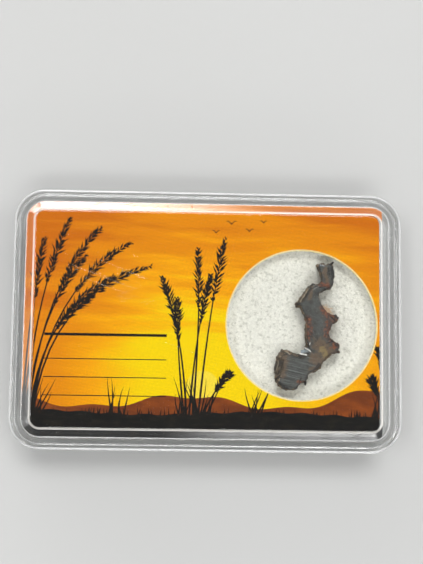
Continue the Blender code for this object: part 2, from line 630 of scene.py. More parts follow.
@dataclass(frozen=True)
class ClearPlastic:
    """Clear moulded polystyrene with hair scratches and a few scuffs."""

    name: str
    tint: Colour = (0.99, 0.992, 0.99)
    ior: float = 1.59
    roughness: float = 0.015
    scratches: float = 0.35
    scuffs: tuple[Mark, ...] = ()
    rubbed: tuple[Mark, ...] = ()
    clear: float = 1.0
    worn_tint: Colour = (0.93, 0.94, 0.94)
    lamp_tint: Colour = (0.984, 0.986, 0.984)
    worn_depth: float = 0.02 * MM

    def material(self, effects: Effects) -> bpy.types.Material:
        """Builds the material.

        Args:
            effects: The shared effects.

        Returns:
            Glass that lamps shine through, so that they light what lies under it.
        """
        material, w, shader = new_material(self.name)
        vector = w.object_coordinates()
        rubbed = any_of(w, effects, vector, self.rubbed)
        amount = w.plus(self.scratches, w.times(rubbed, 0.4))
        hair = effects.scratches.place(w, vector=vector, amount=amount)["Mask"]
        scuffs = any_of(w, effects, vector, self.scuffs)
        worn = w.larger(hair, scuffs)
        w.dress(shader, {
            "Base Color": w.blend(worn, self.tint, self.worn_tint),
            "Roughness": w.plus(self.roughness, w.times(worn, 0.25)),
            "Normal": w.bump(w.times(worn, -0.6), self.worn_depth, 0.5),
            "IOR": self.ior,
            "Transmission Weight": self.clear,
        })
        lamps = w.add("ShaderNodeBsdfTransparent")
        w.feed(lamps.inputs[0], self.lamp_tint)
        mix = w.add("ShaderNodeMixShader")
        w.feed(mix.inputs[0], w.add("ShaderNodeLightPath").outputs["Is Shadow Ray"])
        w.feed(mix.inputs[1], shader.outputs[0])
        w.feed(mix.inputs[2], lamps.outputs[0])
        w.feed(w.tree.nodes["Material Output"].inputs["Surface"], mix.outputs[0])
        return material


@dataclass(frozen=True)
class BeadFoam:
    """White foam of small fused beads, with one faint rust stain."""

    name: str = "white_bead_foam"
    white: Colour = srgb(255, 254, 243)
    # Grey of the flecks, also laid between the beads as painted crevice shade.
    fleck_and_crevice_shade: Colour = srgb(214, 213, 200)
    stain: Mark = Mark((18.3, 2.35), (18.9, 2.0), 0.8, 2.8)
    stain_colour: Colour = srgb(238, 196, 148)
    bead_scale: float = 2100.0
    bead_fade: Point2 = (0.34, 0.62)
    flecks: Patches = Patches(2100.0, 3.0, 0.7, (0.52, 0.66))
    grain_depth: float = 0.12 * MM

    def material(self, effects: Effects) -> bpy.types.Material:
        """Builds the material.

        Args:
            effects: The shared effects.

        Returns:
            The foam's material.
        """
        material, w, shader = new_material(self.name)
        vector = w.object_coordinates()
        # Painted shade between the beads, with real grey flecks, both in the crevice grey.
        beads = w.ramp(w.cells(vector, self.bead_scale), *self.bead_fade)
        flecks = self.flecks.mask(w, vector)
        dull = w.times(w.plus(w.times(beads, 0.3), flecks), 0.85, clamp=True)
        colour = w.blend(dull, self.white, self.fleck_and_crevice_shade)
        stained = w.times(self.stain.mask(w, effects, vector), 0.75)
        colour = w.blend(stained, colour, self.stain_colour)
        grain = effects.grain.place(w, vector=vector, scale=5200.0, contrast=0.2)
        w.dress(shader, {
            "Base Color": colour,
            "Roughness": 0.85,
            "Specular IOR Level": 0.25,
            "Normal": w.bump(grain["Height"], self.grain_depth, 0.7),
        })
        return material


@dataclass(frozen=True)
class PrintedInk:
    """Glossy four-colour print of a sunset over dry grassland."""

    pitch: float = 0.31 * MM
    depth: float = 0.16
    grain_depth: float = 0.006 * MM
    glow_centre: Point2 = (0.5, -10.0)
    glow_reach: Point2 = (0.030, 0.0235)
    sun_centre: Point2 = (-0.6, -10.2)
    sun_radius: float = 2.5
    sun_blur: float = 0.12
    left_dusk: Point2 = (-0.006, -0.030)
    right_light: Point2 = (0.004, 0.028)
    streak_rise: Point2 = (-0.010, 0.006)
    glow: Colour = srgb(255, 218, 0)
    amber: Colour = srgb(253, 172, 4)
    orange: Colour = srgb(234, 142, 8)
    dusk: Colour = srgb(210, 112, 12)
    sun: Colour = srgb(255, 232, 90)
    ridge: Colour = srgb(112, 56, 26)
    ridge_haze: Colour = srgb(146, 74, 28)
    ground: Colour = srgb(16, 15, 13)
    ground_clump: Colour = srgb(36, 32, 24)
    grass: Colour = srgb(22, 19, 16)
    grass_glow: Colour = srgb(92, 54, 18)
    haze: Patches = Patches(1.0, 4.0, 0.6, (0.35, 0.70))
    clumps: Patches = Patches(1.0, 4.0, 0.7, (0.45, 0.75))
    backlight: Patches = Patches(1500.0, 3.0, 0.7, (0.56, 0.72), (0.0, 0.5))

    def material(self, effects: Effects, layer: Layer) -> bpy.types.Material:
        """Builds the material of one part of the picture.

        Args:
            effects: The shared effects.
            layer: The part of the picture.

        Returns:
            The printed material.
        """
        material, w, shader = new_material("print_" + layer.name.lower())
        vector = w.object_coordinates()
        ink = {
            Layer.SKY: self._sky,
            Layer.RIDGE: self._ridge,
            Layer.GROUND: self._ground,
            Layer.GRASS: self._grass,
        }[layer](w, vector)
        printed = effects.screen.place(
            w, vector=vector, ink=ink, pitch=self.pitch, depth=self.depth
        )["Colour"]
        grain = effects.grain.place(w, vector=vector, scale=4200.0, contrast=0.1)
        w.dress(shader, {
            "Base Color": printed,
            "Roughness": 0.6,
            "Specular IOR Level": 0.08,
            "Normal": w.bump(grain["Height"], self.grain_depth, 0.5),
        })
        return material

    def _sky(self, w: Wiring, vector: Socket) -> Socket:
        """Yellow by the sun, through amber to dull orange at the far corners, with streaks.

        Args:
            w: The material's wiring.
            vector: The card's coordinates.

        Returns:
            The sky's colour.
        """
        near = w.vectors("SUBTRACT", vector, in_metres(self.glow_centre))
        near = w.vectors("MULTIPLY", near, (1 / self.glow_reach[0], 1 / self.glow_reach[1], 0))
        away = w.vectors("LENGTH", near, (0, 0, 0), part=1)
        x, y, _ = w.split(vector)
        leftward = w.ramp(x, *self.left_dusk, 0.0, 0.22)
        rightward = w.ramp(x, *self.right_light, 0.0, -0.12)
        away = w.plus(away, w.plus(leftward, rightward))
        streaks = w.cloud(w.turned(vector, 3, (38, 330, 1)), 1.0, 4.0, 0.55)
        wisps = w.cloud(w.turned(vector, -4, (90, 1200, 1)), 1.0, 3.0, 0.6)
        drift = w.times(w.minus(streaks, 0.5), 1.5)
        drift = w.plus(drift, w.times(w.minus(wisps, 0.5), 0.35))
        aloft = w.ramp(y, *self.streak_rise, 0.25, 1.0)
        away = w.plus(away, w.times(drift, aloft))
        colour = w.blend(w.ramp(away, 0.30, 0.72), self.glow, self.amber)
        colour = w.blend(w.ramp(away, 0.62, 1.02), colour, self.orange)
        colour = w.blend(w.ramp(away, 1.0, 1.45), colour, self.dusk)
        disc = w.vectors("DISTANCE", w.flat(vector), in_metres(self.sun_centre), part=1)
        outer, inner = self.sun_radius + self.sun_blur, self.sun_radius - self.sun_blur
        return w.blend(w.times(w.ramp(disc, outer * MM, inner * MM), 0.5), colour, self.sun)

    def _ridge(self, w: Wiring, vector: Socket) -> Socket:
        """Far hills in brown haze, darker towards their foot."""
        shade = self.haze.mask(w, w.turned(vector, 5, (150, 500, 1)))
        return w.blend(shade, self.ridge, self.ridge_haze)

    def _ground(self, w: Wiring, vector: Socket) -> Socket:
        """Near ground in shadow, with faint dull clumps."""
        shade = self.clumps.mask(w, w.turned(vector, 0, (500, 1100, 1)))
        return w.blend(shade, self.ground, self.ground_clump)

    def _grass(self, w: Wiring, vector: Socket) -> Socket:
        """Grass against the light, with a little of the glow coming through."""
        return w.blend(self.backlight.mask(w, vector), self.grass, self.grass_glow)


@dataclass(frozen=True)
class BareCard:
    """Unprinted card, as it shows on the back and along cut edges."""

    name: str
    paper: Colour
    fibre: Colour
    grain_depth: float = 0.03 * MM

    def material(self, effects: Effects) -> bpy.types.Material:
        """Builds the material.

        Args:
            effects: The shared effects.

        Returns:
            The card's material.
        """
        material, w, shader = new_material(self.name)
        vector = w.object_coordinates()
        grain = effects.grain.place(w, vector=vector, scale=3600.0, contrast=0.5)
        fibres = w.ramp(grain["Tone"], 0.9, 1.25)
        w.dress(shader, {
            "Base Color": w.blend(fibres, self.fibre, self.paper),
            "Roughness": 0.8,
            "Normal": w.bump(grain["Height"], self.grain_depth, 0.6),
        })
        return material


@dataclass(frozen=True)
class SawnMeteorite:
    """Iron-nickel metal with saw marks, rust, olivine remnants and broken brown flanks."""

    metal: Colour = srgb(77, 79, 76)
    metal_dark: Colour = srgb(48, 49, 46)
    pit: Colour = srgb(46, 38, 31)
    ridge: Colour = srgb(120, 126, 124)
    groove: Colour = srgb(36, 36, 34)
    rust_red: Colour = srgb(118, 62, 30)
    rust_pale: Colour = srgb(150, 98, 62)
    rust_dark: Colour = srgb(40, 28, 23)
    rust_brown: Colour = srgb(94, 74, 52)
    flank: Colour = srgb(84, 66, 50)
    flank_light: Colour = srgb(122, 102, 78)
    vein: Colour = srgb(168, 150, 124)
    # chip is the colour of the pale marks: painted highlights along edges that catch the light.
    chip: Colour = srgb(190, 176, 154)
    olivine: Colour = srgb(150, 130, 80)
    # smooth is a painted reflection: the grey-blue sheen of the smooth pocket and of the head's top.
    smooth: Colour = srgb(142, 152, 158)
    glint: Colour = srgb(250, 250, 246)
    # crack also colours the dark marks, one of which is a painted shadow band.
    crack: Colour = srgb(22, 20, 18)
    clouding: Patches = Patches(620.0, 4.0, 0.6, (0.34, 0.66))
    pitting: Patches = Patches(1900.0, 3.0, 0.65, (0.52, 0.66), (0.0, 0.6))
    rust_mottle: Patches = Patches(1700.0, 4.0, 0.65, (0.45, 0.59))
    rust_specks: Patches = Patches(2900.0, 2.0, 0.5, (0.60, 0.70), (0.0, 0.6))
    rust_cover: Patches = Patches(1100.0, 3.0, 0.6, (0.36, 0.52), (0.55, 0.95))
    # Patches that darken the sawn faces' rim.
    rim_darkening: Patches = Patches(900.0, 3.0, 0.5, (0.34, 0.56), (0.35, 1.0))
    flank_tone: Patches = Patches(1500.0, 4.0, 0.65, (0.40, 0.68))
    grain_depth: float = 0.03 * MM
    upper_face: Point2 = (4.9 * MM, 5.2 * MM)
    lobe_centre: Point2 = (13.8, -7.2)
    lobe_fade: Point2 = (4.2 * MM, 2.6 * MM)
    red_marks: tuple[Mark, ...] = marks_at(
        (18.1, 2.0, 19.6, 0.9, 1.1, 2.8), (19.4, 0.9, 20.2, 0.85, 0.6, 1.0),
        (19.0, 0.3, 18.7, -1.9, 0.85, 2.8), (19.0, -2.4, 19.9, -3.5, 0.9, 2.6),
        (19.6, -3.4, 20.2, -4.4, 0.6, 1.4), (15.7, 0.5, 15.75, -2.2, 0.6, 1.8),
        (17.5, 5.9, 18.5, 5.7, 0.5, 1.0), (14.1, -9.2, 14.7, -9.3, 0.4, 0.8),
    )
    brown_marks: tuple[Mark, ...] = marks_at(
        (17.3, -3.4, 18.9, -5.0, 1.5, 3.8), (16.6, -5.6, 17.6, -6.2, 1.2, 3.0),
        (11.9, -5.3, 11.5, -8.4, 0.8, 2.2), (15.7, 3.6, 16.1, 5.5, 0.4, 1.6),
        (18.2, 8.2, 18.4, 6.6, 0.55, 2.0), (15.9, -7.2, 16.8, -7.0, 0.5, 1.6),
    )
    olivine_marks: tuple[Mark, ...] = marks_at((17.7, -4.1, 18.2, -4.9, 0.5, 2.4))
    # Dark patches of the metal; the first row is a painted shadow, the band between the upper-left
    # flank strip and the metal.
    dark_and_shadow_marks: tuple[Mark, ...] = marks_at(
        (15.9, 5.2, 14.7, 3.3, 0.26, 0.8), (18.7, 8.4, 18.8, 7.4, 0.24, 0.8),
        (19.2, 8.5, 19.35, 6.8, 0.3, 0.9), (19.0, 9.1, 19.35, 9.35, 0.35, 0.4),
        (20.1, 0.8, 20.3, 0.9, 0.3, 0.4), (20.1, -4.3, 20.3, -4.6, 0.35, 0.4),
        (14.2, 3.0, 14.0, 2.95, 0.35, 0.4), (15.15, -9.3, 15.25, -9.7, 0.35, 0.4),
        (17.3, -6.5, 16.5, -7.4, 0.28, 0.8), (11.2, -9.4, 12.4, -10.3, 0.25, 0.8),
    )
    # Smooth patches: they get less roughness, and their grey-blue colour is a painted reflection.
    painted_sheen_marks: tuple[Mark, ...] = marks_at(
        (14.8, -4.5, 15.4, -4.3, 0.5, 0.4), (17.5, 8.9, 17.95, 8.75, 0.16, 0.3),
    )
    # Painted highlights: white strokes where the pocket's and the head's edges catch the light.
    glints: tuple[Mark, ...] = marks_at(
        (14.05, -4.64, 15.34, -5.06, 0.14), (15.97, -4.55, 15.18, -3.85, 0.09),
        (15.8, -3.5, 15.85, -3.2, 0.08), (17.75, 8.88, 17.95, 8.8, 0.07),
    )
    # Pale lines: painted highlights, dimmer than the glints, along the shoulder, the upper-left
    # flank strip and the broken side.
    pale_highlight_marks: tuple[Mark, ...] = marks_at(
        (12.1, -4.45, 12.75, -5.0, 0.10), (11.1, -6.1, 10.8, -7.4, 0.09, 0.5),
        (12.3, -4.35, 13.2, -4.6, 0.07, 0.5), (15.7, 5.3, 14.3, 3.1, 0.09, 0.4),
        (11.4, -8.4, 11.1, -9.1, 0.08, 0.4),
    )

    def material(self, effects: Effects, cracks: Sequence[Mark]) -> bpy.types.Material:
        """Builds the material.

        Args:
            effects: The shared effects.
            cracks: The cracks that the mesh carries.

        Returns:
            The slice's material.
        """
        material, w, shader = new_material("sawn_meteorite")
        vector = w.object_coordinates()
        masked = partial(any_of, w, effects, vector)
        side = w.add("ShaderNodeAttribute", attribute_name="flank").outputs["Fac"]
        rim = w.add("ShaderNodeAttribute", attribute_name="rim").outputs["Fac"]
        marks, groove = self._saw_marks(w, vector)
        grain = effects.grain.place(w, vector=vector, scale=3400.0, contrast=0.8)
        cloudy = w.times(self.clouding.mask(w, vector), 0.6)
        colour = w.blend(cloudy, self.metal, self.metal_dark)
        colour = w.blend(self.pitting.mask(w, vector), colour, self.pit)
        colour = w.blend(w.times(marks, 0.5), colour, self.ridge)
        colour = w.blend(w.times(groove, 0.7), colour, self.groove)
        brown = masked(self.brown_marks)
        colour = w.blend(w.times(brown, 0.7), colour, self.rust_brown)
        red = masked(self.red_marks)
        rust = w.blend(self.rust_mottle.mask(w, vector), self.rust_dark, self.rust_red)
        rust = w.blend(self.rust_specks.mask(w, vector), rust, self.rust_pale)
        colour = w.blend(w.times(red, self.rust_cover.mask(w, vector)), colour, rust)
        colour = w.blend(w.times(masked(self.olivine_marks), 0.5), colour, self.olivine)
        colour = w.blend(w.times(side, 0.9), colour, self._broken(w, vector, red))
        # Darker along the rim of the sawn faces, in patches.
        edge = w.times(rim, self.rim_darkening.mask(w, vector))
        # Cracks and dark marks, the latter with one painted shadow band.
        cracks_and_shadow = masked((*cracks, *self.dark_and_shadow_marks))
        # The rim darkening, the cracks and the dark marks, one of them a painted shadow band, take
        # the crack colour.
        shade = w.larger(w.times(edge, 0.9), w.times(cracks_and_shadow, 0.85))
        colour = w.blend(shade, colour, self.crack)
        # Painted highlights: the pale lines.
        colour = w.blend(w.times(masked(self.pale_highlight_marks), 0.65), colour, self.chip)
        upper = w.ramp(w.split(vector)[2], *self.upper_face)
        # Painted reflection: the grey-blue sheen of the smooth patches, on the upper face only.
        smooth = w.times(masked(self.painted_sheen_marks), upper)
        colour = w.blend(w.times(smooth, 0.85), colour, self.smooth)
        # Painted highlights: the white glints, on the upper face only.
        glint = w.times(masked(self.glints), upper)
        colour = w.blend(glint, colour, self.glint)
        colour = w.blend(0.5, colour, w.grey(grain["Tone"]), "MULTIPLY")
        earthy = w.larger(w.larger(red, brown), side)
        bright = w.larger(smooth, glint)
        bare = w.times(w.minus(1.0, earthy), 0.5)
        rough = w.ramp(earthy, 0.0, 1.0, 0.45, 0.75)
        calm = w.minus(1.0, w.larger(side, smooth))
        lines = w.times(w.minus(marks, groove), calm)
        height = w.plus(w.times(lines, 0.3), w.times(grain["Height"], 0.6))
        w.dress(shader, {
            "Base Color": colour,
            "Metallic": w.larger(bare, w.times(bright, 0.4)),
            "Roughness": w.minus(rough, w.times(bright, 0.25)),
            "Normal": w.bump(height, self.grain_depth, 0.8),
        })
        return material

    def _broken(self, w: Wiring, vector: Socket, red: Socket) -> Socket:
        """Colours the broken sides: brown, rusty in places, with pale veins and dark cracks.

        Args:
            w: The material's wiring.
            vector: The slice's coordinates.
            red: The mask of the red rust.

        Returns:
            The colour.
        """
        base = w.blend(self.flank_tone.mask(w, vector), self.flank, self.flank_light)
        base = w.blend(w.times(red, 0.8), base, self.rust_red)
        for scale, reach, share, colour in (
            (1700.0, 0.09, 0.75, self.vein), (1150.0, 0.10, 0.95, self.crack),
        ):
            level = w.minus(w.cloud(vector, scale, 3.0, 0.6), 0.5)
            lines = w.ramp(w.math("ABSOLUTE", level), reach, 0.0, 0.0, share)
            base = w.blend(lines, base, colour)
        return base

    def _saw_marks(self, w: Wiring, vector: Socket) -> tuple[Socket, Socket]:
        """Fine parallel marks of the saw: level ones on the lobe and steep ones elsewhere.

        Args:
            w: The material's wiring.
            vector: The slice's coordinates.

        Returns:
            The masks of the bright ridges and of the dark grooves.
        """
        away = w.vectors("DISTANCE", w.flat(vector), in_metres(self.lobe_centre), part=1)
        lobe = w.ramp(away, *self.lobe_fade)
        rest = w.minus(1.0, lobe)
        level = w.cloud(w.turned(vector, 12, (130, 4000, 1)), 1.0, 2.0, 0.6)
        steep = w.cloud(w.turned(vector, 52, (400, 3600, 1)), 1.0, 2.0, 0.7)
        found = []
        for near, far, faint in ((0.52, 0.64, 0.58), (0.48, 0.36, 0.42)):
            strong = w.times(w.ramp(level, near, far), lobe)
            weak = w.times(w.ramp(steep, faint, far, 0.0, 0.35), rest)
            found.append(w.plus(strong, weak))
        return found[0], found[1]


class Shaper:
    """A bmesh under construction that starts as a block with rounded corners."""

    def __init__(
        self, size: Point2, corner_radius: float, bottom: float, top: float, segments: int = 28
    ) -> None:
        """Makes the block.

        Args:
            size: Its length along X and its width along Y.
            corner_radius: The radius of its upright edges.
            bottom: The height of its underside.
            top: The height of its upper face.
            segments: How many faces each rounded corner gets.
        """
        self.bm = bmesh.new()
        bmesh.ops.create_cube(self.bm, size=1.0)
        bmesh.ops.scale(self.bm, vec=(*size, top - bottom), verts=self.bm.verts)
        bmesh.ops.translate(self.bm, vec=(0, 0, (top + bottom) / 2), verts=self.bm.verts)
        tall = (top - bottom) / 2
        upright = [e for e in self.bm.edges if abs(e.verts[0].co.z - e.verts[1].co.z) > tall]
        self.soften(upright, corner_radius, segments)

    def end_face(self, side: int) -> bmesh.types.BMFace:
        """Finds the highest flat face for side 1, or the lowest for side -1."""
        level = [f for f in self.bm.faces if abs(f.normal.z) > 0.99]
        return max(level, key=lambda f: side * f.calc_center_median().z)

    def step(self, face: bmesh.types.BMFace, run: float, rise: float) -> bmesh.types.BMFace:
        """Insets a face and moves what is left of it, which leaves a ledge or a slope.

        Args:
            face: The face.
            run: How far it is inset.
            rise: How far it moves up.

        Returns:
            The same face, smaller.
        """
        bmesh.ops.inset_region(self.bm, faces=[face], thickness=run, use_even_offset=True)
        bmesh.ops.translate(self.bm, vec=(0, 0, rise), verts=face.verts)
        return face

    def raise_face(self, face: bmesh.types.BMFace, rise: float) -> bmesh.types.BMFace:
        """Extrudes a face straight up, or down for a negative rise.

        Args:
            face: The face.
            rise: How far it moves.

        Returns:
            The moved face.
        """
        moved = bmesh.ops.extrude_discrete_faces(self.bm, faces=[face])["faces"][0]
        bmesh.ops.translate(self.bm, vec=(0, 0, rise), verts=moved.verts)
        return moved

    def soften(
        self, edges: Sequence[bmesh.types.BMEdge], radius: float, segments: int,
        part: LidPart = LidPart.WALL,
    ) -> None:
        """Rounds edges.

        Args:
            edges: The edges.
            radius: How far the rounding reaches along each face.
            segments: How many faces the rounding gets.
            part: The part whose finish the rounding takes.
        """
        made = bmesh.ops.bevel(
            self.bm, geom=list(edges), offset=radius, offset_type="OFFSET", segments=segments,
            profile=0.5, affect="EDGES", material=-1, clamp_overlap=True,
        )
        for face in made["faces"]:
            face.material_index = part.value


class Piece:
    """Shared ways to turn a mesh into a finished piece of the object."""

    @staticmethod
    def shown(
        name: str, mesh: bpy.types.Mesh, materials: Sequence[bpy.types.Material],
        node: str, slot: str,
    ) -> bpy.types.Object:
        """Puts a mesh in the scene in place of a node.

        Args:
            name: The piece's name.
            mesh: Its mesh, in place.
            materials: Its materials, in slot order.
            node: The node that it stands for.
            slot: The name of a material slot; not used.

        Returns:
            The piece.
        """
        piece = put_in_scene(name, mesh)
        while mesh.materials:
            mesh.materials.pop()
        for material in materials:
            mesh.materials.append(material)
        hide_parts(node)
        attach(piece, BODY)
        log.info("%s: %d faces, in place of %s", name, len(mesh.polygons), node)
        return piece

    @staticmethod
    def remeshed(
        source: bpy.types.Object, voxel: float, right_end: float = math.inf
    ) -> bpy.types.Mesh:
        """Copies a node's solid and gives it an even mesh of small squares.

        Args:
            source: The node's object.
            voxel: The squares' size in metres.
            right_end: Where along X it is cut straight, if it reaches so far.

        Returns:
            The new mesh.
        """
        bm = bmesh.new()
        bm.from_mesh(source.data)
        bmesh.ops.remove_doubles(bm, verts=bm.verts, dist=MERGE_REACH)
        if max(v.co.x for v in bm.verts) > right_end:
            cut = bmesh.ops.bisect_plane(
                bm, geom=[*bm.verts, *bm.edges, *bm.faces],
                plane_co=(right_end, 0, 0), plane_no=(1, 0, 0), clear_outer=True,
            )["geom_cut"]
            bmesh.ops.holes_fill(bm, edges=[e for e in cut if isinstance(e, bmesh.types.BMEdge)])
        name = source.name + "_even"
        blank = put_in_scene(name, mesh_of(bm, name))
        remesh = blank.modifiers.new("even", "REMESH")
        remesh.mode = "VOXEL"
        remesh.voxel_size = voxel
        remesh.adaptivity = 0.0
        ready = blank.evaluated_get(bpy.context.evaluated_depsgraph_get())
        result = bpy.data.meshes.new_from_object(ready)
        bpy.data.objects.remove(blank)
        result.shade_smooth()
        return result


@dataclass
class ClearBox:
    """The clear box: a tray with a thin upright wall, and a lid that nests over it."""

    length: float = 60 * MM
    width: float = 40 * MM
    corner_radius: float = 4.8 * MM
    wall: float = 0.8 * MM
    fit_gap: float = 0.15 * MM
    flange_top: float = 1.2 * MM
    floor_top: float = 1.0 * MM
    rim_top: float = 6.1 * MM
    foot_rounding: float = 0.3 * MM
    rim_rounding: float = 0.15 * MM
    lid_lip: float = 1.4 * MM
    ledge_top: float = 7.2 * MM
    panel_top: float = 8.0 * MM
    ledge_width: float = 1.9 * MM
    slope_run: float = 1.25 * MM
    lid_thickness: float = 0.9 * MM
    lip_rounding: float = 0.12 * MM
    root_rounding: float = 0.1 * MM
    slope_shift: float = 0.26 * MM
    outer_rounding: float = 0.36 * MM
    valley_rounding: float = 0.1 * MM
    panel_rounding: float = 0.18 * MM

    def tray_mesh(self) -> bpy.types.Mesh:
        """Shapes the tray from a flanged floor and an upright wall.

        Returns:
            The tray's mesh.
        """
        shape = Shaper((self.length, self.width), self.corner_radius, 0, self.flange_top)
        foot = list(shape.end_face(-1).edges)
        brim = list(shape.end_face(1).edges)
        face = shape.step(shape.end_face(1), self.wall + self.fit_gap, 0)
        root = list(face.edges)
        face = shape.raise_face(face, self.rim_top - self.flange_top)
        rim = list(face.edges)
        face = shape.step(face, self.wall, 0)
        rim += list(face.edges)
        face = shape.raise_face(face, self.floor_top - self.rim_top)
        corner = list(face.edges)
        shape.soften(foot, self.foot_rounding, 4)
        shape.soften(brim, self.rim_rounding, 3)
        shape.soften(root, self.root_rounding, 2)
        shape.soften(rim, self.rim_rounding, 3)
        shape.soften(corner, self.rim_rounding, 3)
        return self._smoothed(shape.bm, "tray")

    def lid_mesh(self) -> bpy.types.Mesh:
        """Shapes the lid: a cap with a ledge round a raised panel.

        Returns:
            The lid's mesh.
        """
        shape = Shaper((self.length, self.width), self.corner_radius, self.lid_lip, self.ledge_top)
        panel, under = shape.end_face(1), shape.end_face(-1)
        rise = self.panel_top - self.ledge_top
        outer, lip = list(panel.edges), list(under.edges)
        panel = shape.step(panel, self.ledge_width, 0)
        valley = list(panel.edges)
        panel = shape.step(panel, self.slope_run, rise)
        crest = list(panel.edges)
        for slope in (f for e in crest for f in e.link_faces if f is not panel):
            slope.material_index = LidPart.SLOPE.value
        ceiling = shape.step(under, self.wall, 0)
        lip += list(ceiling.edges)
        ceiling = shape.raise_face(ceiling, self.ledge_top - self.lid_thickness - self.lid_lip)
        corner = list(ceiling.edges)
        ceiling = shape.step(ceiling, self.ledge_width + self.slope_shift - self.wall, 0)
        inner_valley = list(ceiling.edges)
        ceiling = shape.step(ceiling, self.slope_run, rise)
        inner_crest = list(ceiling.edges)
        shape.soften(outer, self.outer_rounding, 6, LidPart.EDGE)
        shape.soften(valley, self.valley_rounding, 4, LidPart.EDGE)
        shape.soften(crest, self.panel_rounding, 5, LidPart.CREST)
        shape.soften(lip, self.lip_rounding, 3)
        for edges in (corner, inner_valley, inner_crest):
            shape.soften(edges, self.rim_rounding, 3)
        return self._smoothed(shape.bm, "lid")

    @staticmethod
    def _smoothed(bm: bmesh.types.BMesh, name: str) -> bpy.types.Mesh:
        """Finishes a shell's mesh with smooth roundings that leave the wide faces' normals true.

        Args:
            bm: The shell's bmesh, which is freed.
            name: The mesh's name.

        Returns:
            The mesh.
        """
        bmesh.ops.recalc_face_normals(bm, faces=bm.faces)
        mesh = mesh_of(bm, name)
        mesh.shade_smooth()
        normals = [Vector() for _ in mesh.vertices]
        for face in mesh.polygons:
            for index in face.vertices:
                normals[index] += face.normal * (face.area / MM ** 2)
        mesh.normals_split_custom_set_from_vertices([n.normalized() for n in normals])
        return mesh

    def build(self, effects: Effects) -> list[bpy.types.Object]:
        """Builds and dresses both halves.

        Args:
            effects: The shared effects.

        Returns:
            The tray and the lid.
        """
        scuffs = marks_at(
            (29.3, 10.4, 29.3, 10.0, 0.4, 0.6), (29.4, -10.5, 29.4, -10.9, 0.5, 0.8),
            (-27.7, 3.0, -27.7, 3.3, 0.3, 0.5), (-29.2, 4.3, -29.2, 4.6, 0.35, 0.5),
            (28.2, 13.6, 29.7, 13.3, 0.12), (28.3, 13.1, 29.6, 12.9, 0.1),
            (-20.5, 8.0, -11.0, 4.6, 0.035), (-17.0, 9.2, -9.4, 6.2, 0.035),
            (-19.0, 6.2, -12.4, 3.9, 0.03), (-6.5, -3.5, -2.0, -5.0, 0.03),
        )
        rubbed = marks_at((-18.0, 7.5, -11.0, 5.5, 6.0, 4.0))
        finishes = {
            LidPart.WALL: ClearPlastic(
                "clear_lid_plastic", scratches=0.28, scuffs=scuffs, rubbed=rubbed
            ),
            # The rubbed outer edge and the panel's crest are milky; their whiteness, and the crest's
            # cream tint, also stand in as painted highlight lines.
            LidPart.EDGE: ClearPlastic("lid_edge_wear_and_painted_highlight", roughness=0.12, clear=0.7),
            LidPart.CREST: ClearPlastic(
                "panel_edge_wear_and_painted_highlight", tint=(0.97, 0.93, 0.86), roughness=0.15, clear=0.6
            ),
            # The slope's tint is darker than the rest of the same plastic: painted shade.
            LidPart.SLOPE: ClearPlastic(
                "panel_slope_plastic", tint=(0.87, 0.88, 0.86), roughness=0.03
            ),
        }
        lid = [finishes[part].material(effects) for part in LidPart]
        tray = [ClearPlastic("clear_tray_plastic", scratches=0.2).material(effects)]
        return [
            Piece.shown("clear_tray", self.tray_mesh(), tray, "base", "clear_plastic"),
            Piece.shown("clear_lid", self.lid_mesh(), lid, "lid", "clear_plastic"),
        ]


@dataclass
class FoamInsert:
    """The foam block that fills the tray, with beads that stand out all over it."""

    voxel: float = 0.29 * MM
    bead_height: float = 0.09 * MM
    bead_size: float = 0.45 * MM
    dent_centre: Point2 = (14.65 * MM, -0.4 * MM)
    dent_reach: float = 12.1 * MM
    dent_band: float = 1.3 * MM
    foot_inner: float = 9.6 * MM
    foot_passes: int = 9

    def _refine_dent(self, bm: bmesh.types.BMesh) -> None:
        """Halves the squares under the window, and smooths the foot of the dent.

        Args:
            bm: The foam's even mesh.
        """
        centre = Vector(self.dent_centre)
        top = max(v.co.z for v in bm.verts) - self.dent_band
        edges = [
            e for e in bm.edges
            if all(v.co.z > top and (v.co.xy - centre).length < self.dent_reach for v in e.verts)
        ]
        bmesh.ops.subdivide_edges(bm, edges=edges, cuts=1, use_grid_fill=True)
        foot = [
            v for v in bm.verts
            if v.co.z > top and self.foot_inner < (v.co.xy - centre).length < self.dent_reach
        ]
        for _ in range(self.foot_passes):
            bmesh.ops.smooth_vert(bm, verts=foot, factor=0.5, use_axis_z=True)

    def _raise_beads(self, mesh: bpy.types.Mesh) -> None:
        """Moves every point along its normal, out on a bead and in between beads.

        Args:
            mesh: The foam's even mesh.
        """
        normals = [v.normal.copy() for v in mesh.vertices]
        for vertex, normal in zip(mesh.vertices, normals):
            near = noise.voronoi(vertex.co / self.bead_size)[0][0]
            ragged = noise.noise(vertex.co / (0.6 * self.bead_size))
            vertex.co += normal * self.bead_height * (0.55 - 1.3 * near + 0.45 * ragged)
        mesh.update()

    def build(self, effects: Effects, node: bpy.types.Object) -> bpy.types.Object:
        """Builds and dresses the foam.

        Args:
            effects: The shared effects.
            node: The foam's own node.

        Returns:
            The foam piece.
        """
        even = Piece.remeshed(node, self.voxel, INSERT_RIGHT)
        bm = bmesh.new()
        bm.from_mesh(even)
        self._refine_dent(bm)
        bm.normal_update()
        bm.to_mesh(even)
        bm.free()
        self._raise_beads(even)
        even.shade_smooth()
        materials = [BeadFoam().material(effects)]
        return Piece.shown("foam_block", even, materials, "foam_insert", "white_foam")


